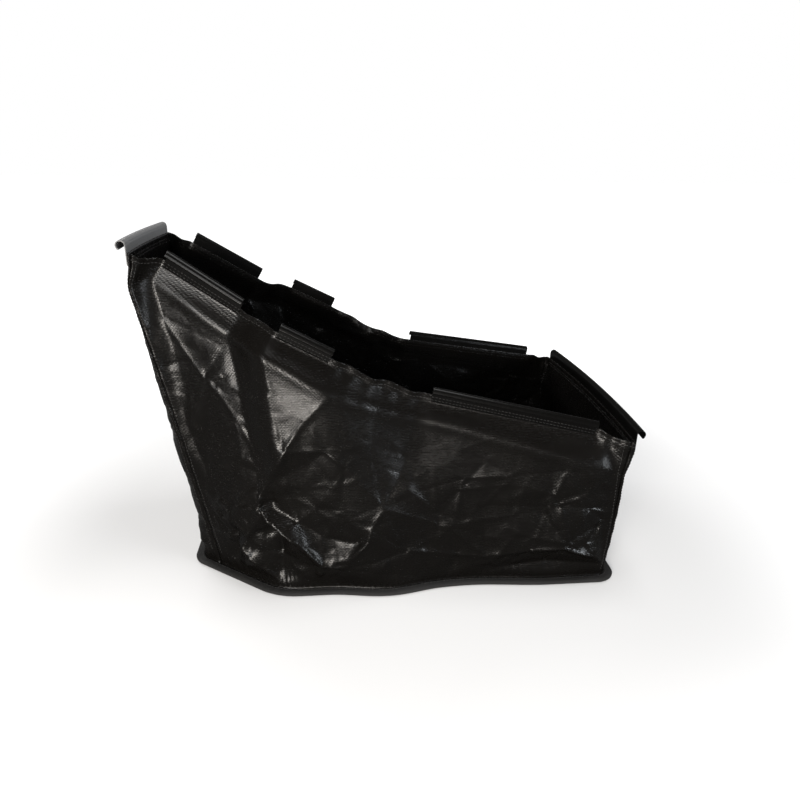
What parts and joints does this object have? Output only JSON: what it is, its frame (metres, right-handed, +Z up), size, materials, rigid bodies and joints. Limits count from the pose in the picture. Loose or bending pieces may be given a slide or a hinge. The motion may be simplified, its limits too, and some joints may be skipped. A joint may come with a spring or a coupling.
{
  "type": "leaf collector basket",
  "caption": "Open-topped cloth catcher with a mouth that slopes from a tall narrow end to a low wide end, and hooked clip strips along its edge.",
  "frame": {"origin": "on the ground under the middle of the outer box", "axes": "+Z up; +X along the basket from the tall narrow end to the low wide end; -Y is the front side"},
  "size_m": [0.666, 0.388, 0.4599],
  "materials": {
    "coated_cloth": "satin coated weave",
    "clip_plastic": "satin",
    "high_end_clip_plastic": "satin",
    "binding_tape": "matt woven tape"
  },
  "bodies": {
    "root": {"side_panel_front": "coated_cloth", "side_panel_back": "coated_cloth", "end_panel_high": "coated_cloth", "end_panel_low": "coated_cloth", "floor_panel": "coated_cloth", "base_binding": "binding_tape", "clip_high_end": "high_end_clip_plastic", "clip_low_end": "clip_plastic", "clip_front_upper": "clip_plastic", "clip_front_middle": "clip_plastic", "clip_front_lower": "clip_plastic", "clip_back_upper": "clip_plastic", "clip_back_middle": "clip_plastic", "clip_back_lower": "clip_plastic"}
  },
  "joints": []
}
